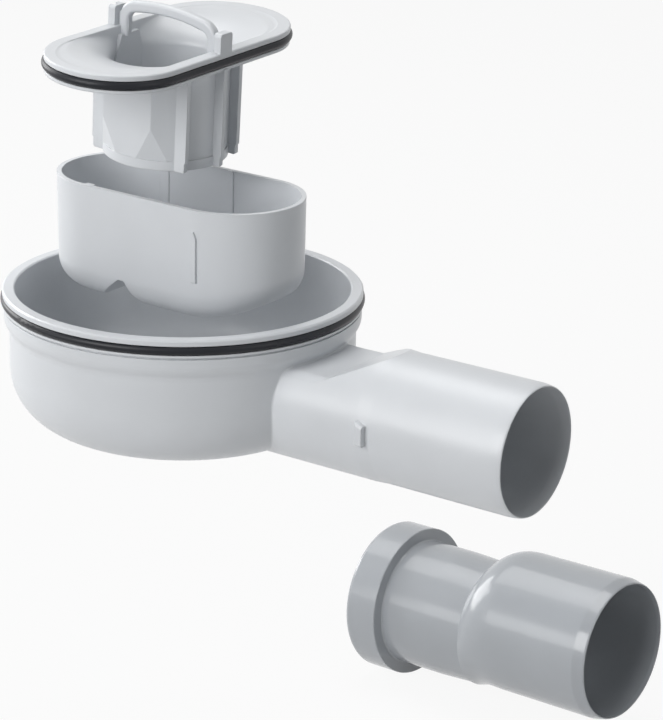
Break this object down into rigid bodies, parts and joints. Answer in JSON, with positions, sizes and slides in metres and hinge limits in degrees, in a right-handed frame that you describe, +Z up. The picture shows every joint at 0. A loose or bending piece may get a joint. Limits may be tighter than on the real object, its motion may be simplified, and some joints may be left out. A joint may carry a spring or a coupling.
{
  "type": "shower trap",
  "caption": "Flat shower drain trap shown taken apart: round bowl with side outlet, oblong siphon cup, dip tube insert with lifting handle, and an offset outlet reducer.",
  "frame": {"origin": "centre of the bowl's top face, where its round rim meets the drain body above", "axes": "+X along the outlet pipe, away from the bowl; +Z up, out of the bowl"},
  "size_m": [0.1862, 0.2068, 0.2626],
  "materials": {
    "trap_plastic": "satin moulded light grey",
    "adapter_plastic": "smooth moulded mid grey",
    "seal_rubber": "smooth black rubber"
  },
  "bodies": {
    "root": {"trap_body": "trap_plastic", "body_seal_ring": "seal_rubber", "siphon_cup": "trap_plastic", "dip_tube_insert": "trap_plastic", "insert_seal_ring": "seal_rubber", "outlet_adapter": "adapter_plastic", "adapter_lip_seal": "seal_rubber"}
  },
  "joints": []
}
